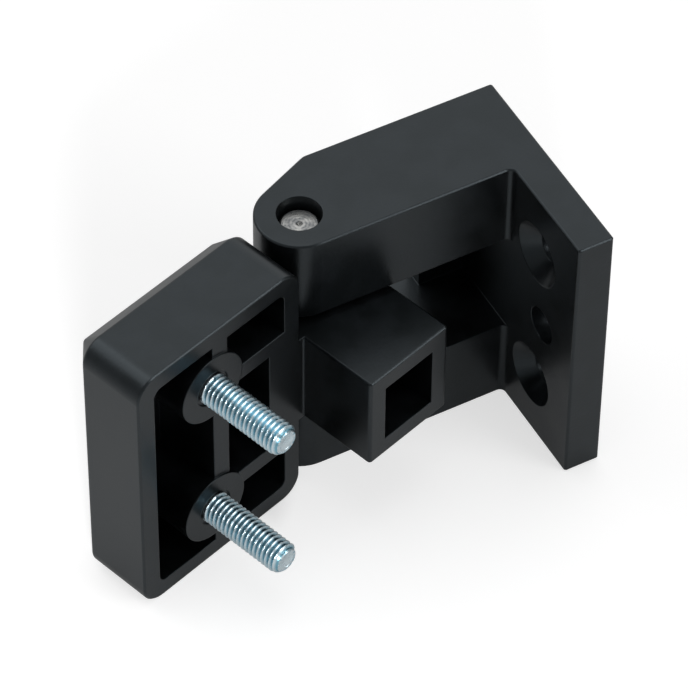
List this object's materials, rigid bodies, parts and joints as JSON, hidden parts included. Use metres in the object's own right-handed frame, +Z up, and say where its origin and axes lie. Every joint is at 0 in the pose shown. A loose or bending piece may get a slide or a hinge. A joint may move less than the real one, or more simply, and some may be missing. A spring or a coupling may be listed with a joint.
{
  "type": "concealed hinge",
  "caption": "Black moulded concealed hinge: forked bracket with a screw flange, hollow chamfered leaf with threaded studs, turning on a recessed steel pin.",
  "frame": {"origin": "on the flange's outer face, midway between the two countersunk screw holes", "axes": "+X out of the flange's outer face, +Z up along the hinge pin, the flange's free edge towards -Y"},
  "size_m": [0.0756, 0.0389, 0.048],
  "materials": {
    "moulded_black": "fine moulded texture, matte",
    "pin_steel": "turned",
    "stud_zinc": "bright zinc plated"
  },
  "bodies": {
    "bracket": {"frame_bracket": "moulded_black", "hinge_pin": "pin_steel"},
    "leaf": {"door_leaf": "moulded_black", "upper_stud": "stud_zinc", "lower_stud": "stud_zinc"}
  },
  "joints": [
    {"name": "leaf_swing", "type": "hinge", "parent": "bracket", "child": "leaf", "pos_m": [-0.037, 0.0142, 0], "axis": [0, 0, 1], "range_deg": [-90, 72.4]}
  ]
}
